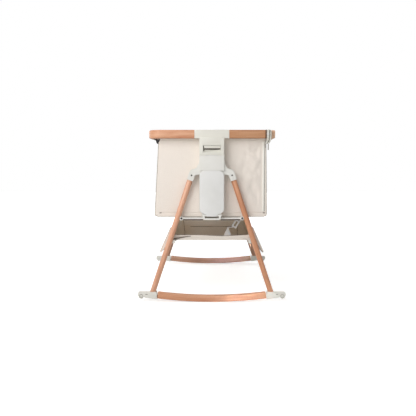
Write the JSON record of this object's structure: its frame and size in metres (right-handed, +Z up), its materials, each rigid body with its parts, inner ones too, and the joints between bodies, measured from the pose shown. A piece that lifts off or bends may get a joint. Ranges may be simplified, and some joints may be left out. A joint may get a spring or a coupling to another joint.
{
  "type": "bedside crib",
  "caption": "Rocking bedside crib: a fabric bassinet on a wooden top rail, held by sliding columns in wooden A-frames on curved rockers, with a drop side and a storage basket.",
  "frame": {"origin": "on the floor under the middle of the crib", "axes": "+X across the crib towards its opening side, +Y along its length, +Z up"},
  "size_m": [0.6672, 0.948, 0.7705],
  "materials": {
    "beech": "satin varnish",
    "off_white_plastic": "fine texture",
    "cover_plastic": "fine texture",
    "oat_fabric": "woven",
    "taupe_fabric": "woven",
    "webbing": "woven tape",
    "dark_screw": "blackened",
    "latch_steel": "plated",
    "zip_metal": "satin",
    "white_metal": "powder coat",
    "column_aluminium": "anodised",
    "black_plastic": "moulded",
    "base_board": "hardboard",
    "mattress_fabric": "woven"
  },
  "bodies": {
    "stand": {"near_rocker": "beech", "near_leg_hub": "off_white_plastic", "near_column_sleeve": "column_aluminium", "near_column_cover": "cover_plastic", "near_crossbar": "white_metal", "far_rocker": "beech", "far_leg_hub": "off_white_plastic", "far_column_sleeve": "column_aluminium", "far_column_cover": "cover_plastic", "far_crossbar": "white_metal", "near_left_leg": "beech", "near_left_rocker_socket": "off_white_plastic", "near_left_leg_screw": "dark_screw", "near_left_basket_clip": "off_white_plastic", "near_right_leg": "beech", "near_right_rocker_socket": "off_white_plastic", "near_right_leg_screw": "dark_screw", "near_right_basket_clip": "off_white_plastic", "far_left_leg": "beech", "far_left_rocker_socket": "off_white_plastic", "far_left_leg_screw": "dark_screw", "far_left_basket_clip": "off_white_plastic", "far_right_leg": "beech", "far_right_rocker_socket": "off_white_plastic", "far_right_leg_screw": "dark_screw", "far_right_basket_clip": "off_white_plastic", "storage_basket": "taupe_fabric"},
    "bassinet": {"near_inner_column": "column_aluminium", "near_housing": "off_white_plastic", "near_right_rail": "beech", "near_end_panel": "oat_fabric", "near_corner_bracket": "off_white_plastic", "far_inner_column": "column_aluminium", "far_housing": "off_white_plastic", "far_right_rail": "beech", "far_end_panel": "oat_fabric", "far_corner_bracket": "off_white_plastic", "left_rail": "beech", "left_side_panel": "oat_fabric", "drop_side_panel": "oat_fabric", "base_frame": "white_metal", "base_board": "base_board", "mattress": "mattress_fabric", "fabric_hook_strip": "black_plastic", "bed_strap": "webbing"},
    "near_handle": {"near_release_handle": "off_white_plastic"},
    "near_bolt": {"near_latch_bolt": "latch_steel"},
    "near_button": {"near_catch_button": "off_white_plastic"},
    "near_zip": {"near_zip_slider": "zip_metal"},
    "far_handle": {"far_release_handle": "off_white_plastic"},
    "far_bolt": {"far_latch_bolt": "latch_steel"},
    "far_button": {"far_catch_button": "off_white_plastic"},
    "far_zip": {"far_zip_slider": "zip_metal"},
    "drop_side": {"drop_rail": "beech", "near_rail_catch": "off_white_plastic", "far_rail_catch": "off_white_plastic"},
    "near_left_foot_lever": {"near_left_foot": "off_white_plastic"},
    "near_right_foot_lever": {"near_right_foot": "off_white_plastic"},
    "far_left_foot_lever": {"far_left_foot": "off_white_plastic"},
    "far_right_foot_lever": {"far_right_foot": "off_white_plastic"}
  },
  "joints": [
    {"name": "height_adjust", "type": "slide", "parent": "stand", "child": "bassinet", "axis": [0, 0, 1], "range_m": [0, 0.15]},
    {"name": "drop_side_slide", "type": "slide", "parent": "bassinet", "child": "drop_side", "axis": [0, 0, -1], "range_m": [0, 0.28], "deforming": ["drop_side_panel"]},
    {"name": "near_handle_pull", "type": "slide", "parent": "bassinet", "child": "near_handle", "axis": [0, 0, 1], "range_m": [0, 0.008], "stiffness_N_per_m": 500, "springref_m": -0.01},
    {"name": "near_bolt_slide", "type": "slide", "parent": "bassinet", "child": "near_bolt", "axis": [0, 1, 0], "range_m": [0, 0.004]},
    {"name": "near_button_press", "type": "slide", "parent": "bassinet", "child": "near_button", "axis": [0, 1, 0], "range_m": [0, 0.003], "stiffness_N_per_m": 600, "springref_m": -0.002},
    {"name": "near_zip_run", "type": "slide", "parent": "bassinet", "child": "near_zip", "axis": [0, 0, -1], "range_m": [0, 0.28]},
    {"name": "far_handle_pull", "type": "slide", "parent": "bassinet", "child": "far_handle", "axis": [0, 0, 1], "range_m": [0, 0.008], "stiffness_N_per_m": 500, "springref_m": -0.01},
    {"name": "far_bolt_slide", "type": "slide", "parent": "bassinet", "child": "far_bolt", "axis": [0, -1, 0], "range_m": [0, 0.004]},
    {"name": "far_button_press", "type": "slide", "parent": "bassinet", "child": "far_button", "axis": [0, -1, 0], "range_m": [0, 0.003], "stiffness_N_per_m": 600, "springref_m": -0.002},
    {"name": "far_zip_run", "type": "slide", "parent": "bassinet", "child": "far_zip", "axis": [0, 0, -1], "range_m": [0, 0.28]},
    {"name": "near_left_foot_fold", "type": "hinge", "parent": "stand", "child": "near_left_foot_lever", "pos_m": [-0.318, -0.448, 0.028], "axis": [0, 1, 0], "range_deg": [0, 90]},
    {"name": "near_right_foot_fold", "type": "hinge", "parent": "stand", "child": "near_right_foot_lever", "pos_m": [0.318, -0.448, 0.028], "axis": [0, -1, 0], "range_deg": [0, 90]},
    {"name": "far_left_foot_fold", "type": "hinge", "parent": "stand", "child": "far_left_foot_lever", "pos_m": [-0.318, 0.448, 0.028], "axis": [0, 1, 0], "range_deg": [0, 90]},
    {"name": "far_right_foot_fold", "type": "hinge", "parent": "stand", "child": "far_right_foot_lever", "pos_m": [0.318, 0.448, 0.028], "axis": [0, -1, 0], "range_deg": [0, 90]}
  ],
  "couplings": [
    {"joint": "near_bolt_slide", "follows": "near_handle_pull", "ratio": 0.5},
    {"joint": "far_bolt_slide", "follows": "far_handle_pull", "ratio": 0.5}
  ]
}
